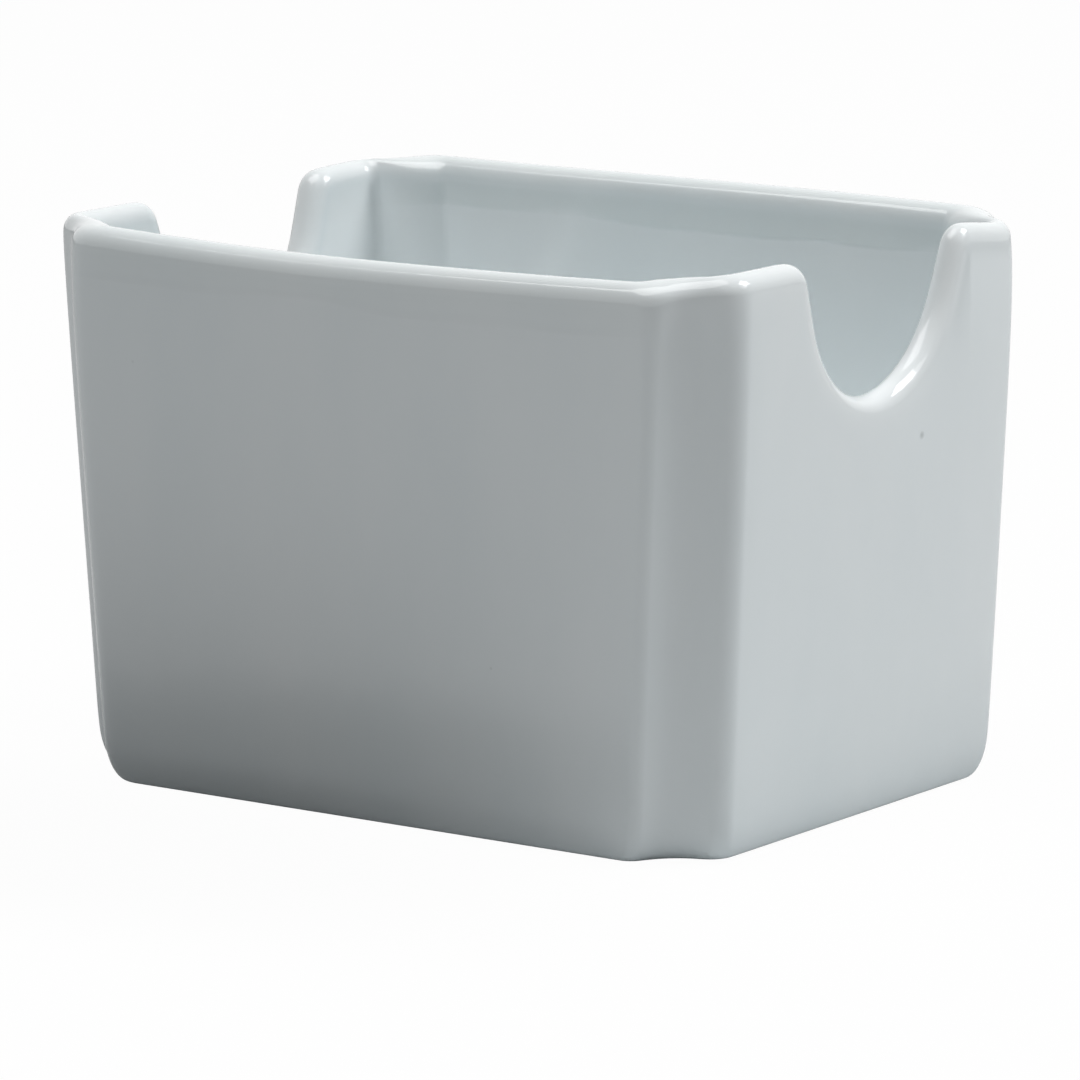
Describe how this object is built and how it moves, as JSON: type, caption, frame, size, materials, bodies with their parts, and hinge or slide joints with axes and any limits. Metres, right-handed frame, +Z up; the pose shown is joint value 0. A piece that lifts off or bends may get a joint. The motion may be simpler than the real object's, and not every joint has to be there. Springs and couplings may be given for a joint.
{
  "type": "sugar packet holder",
  "caption": "Open rectangular caddy of glazed china with scalloped corners, a round rim and a finger notch in each end wall, for holding sugar packets upright.",
  "frame": {"origin": "on the table, under the middle of the caddy", "axes": "+X along the long walls, +Y across to the back wall, +Z up"},
  "size_m": [0.096, 0.067, 0.065],
  "materials": {
    "glaze": "glossy clear glaze over cool white china",
    "bare_china": "matt unglazed china, ground flat"
  },
  "bodies": {
    "root": {"body": "glaze", "foot_ring": "bare_china"}
  },
  "joints": []
}
